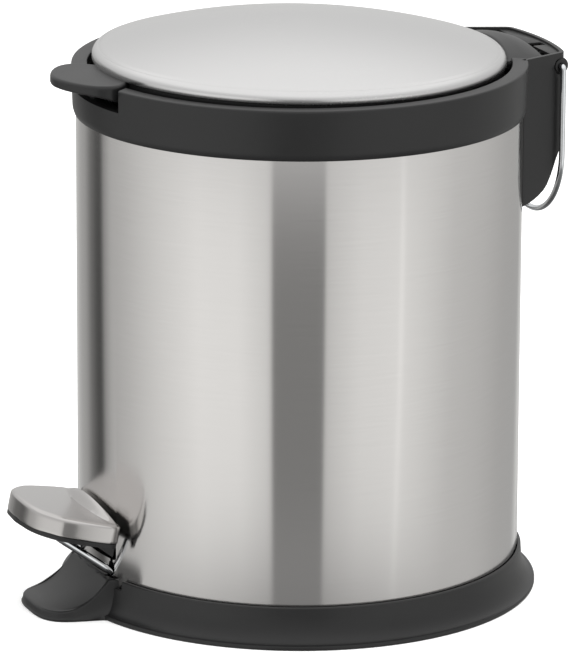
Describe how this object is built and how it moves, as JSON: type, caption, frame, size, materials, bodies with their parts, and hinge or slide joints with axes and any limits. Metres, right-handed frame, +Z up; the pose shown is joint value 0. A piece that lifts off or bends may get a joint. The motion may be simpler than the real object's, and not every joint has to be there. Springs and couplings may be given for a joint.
{
  "type": "pedal trash can",
  "caption": "Small round pedal trash can with a steel body, domed lid on a rear hinge, wire pedal lever, lift-out bucket and rear wire handle.",
  "frame": {"origin": "centre of the base's floor face, on the body's axis", "axes": "+Z up along the body's axis, -Y towards the pedal, +X to the right of someone facing the hinge from the pedal side"},
  "size_m": [0.2218, 0.2638, 0.2677],
  "materials": {
    "brushed_steel": "brushed",
    "chrome": "polished",
    "zinc": "satin",
    "black_plastic": "matte",
    "grey_plastic": "satin",
    "rubber": "matte"
  },
  "bodies": {
    "can": {"base": "black_plastic", "rubber_feet": "rubber", "body_shell": "brushed_steel", "rim_collar": "black_plastic", "axle_cap_left": "black_plastic", "axle_cap_right": "black_plastic", "cap_screws": "zinc", "housing_screws": "zinc", "bail_bushes": "black_plastic", "hinge_pin": "zinc", "bucket": "grey_plastic", "bucket_bail": "chrome"},
    "pedal": {"pedal_lever": "chrome", "lever_axle": "chrome", "pedal_cap": "brushed_steel", "pedal_shell": "black_plastic", "pedal_screws": "zinc"},
    "rod": {"push_rod": "zinc", "rod_clip": "black_plastic"},
    "lid": {"lid_frame": "black_plastic", "lid_cap": "brushed_steel", "lid_liner": "grey_plastic", "lid_bumpers": "rubber"},
    "handle": {"rear_bail": "chrome"}
  },
  "joints": [
    {"name": "pedal_hinge", "type": "hinge", "parent": "can", "child": "pedal", "pos_m": [0, -0.092, 0.0138], "axis": [1, 0, 0], "range_deg": [0, 9.3]},
    {"name": "rod_slide", "type": "slide", "parent": "can", "child": "rod", "axis": [0, 0, 1], "range_m": [0, 0.03017]},
    {"name": "lid_hinge", "type": "hinge", "parent": "can", "child": "lid", "pos_m": [0, 0.1175, 0.241], "axis": [-1, 0, 0], "range_deg": [0, 79.15]},
    {"name": "handle_swing", "type": "hinge", "parent": "can", "child": "handle", "pos_m": [0, 0.1175, 0.241], "axis": [1, 0, 0], "range_deg": [0, 150]}
  ],
  "couplings": [
    {"joint": "lid_hinge", "follows": "pedal_hinge", "ratio": 8.5},
    {"joint": "rod_slide", "follows": "pedal_hinge", "m_per_rad": 0.18461}
  ]
}
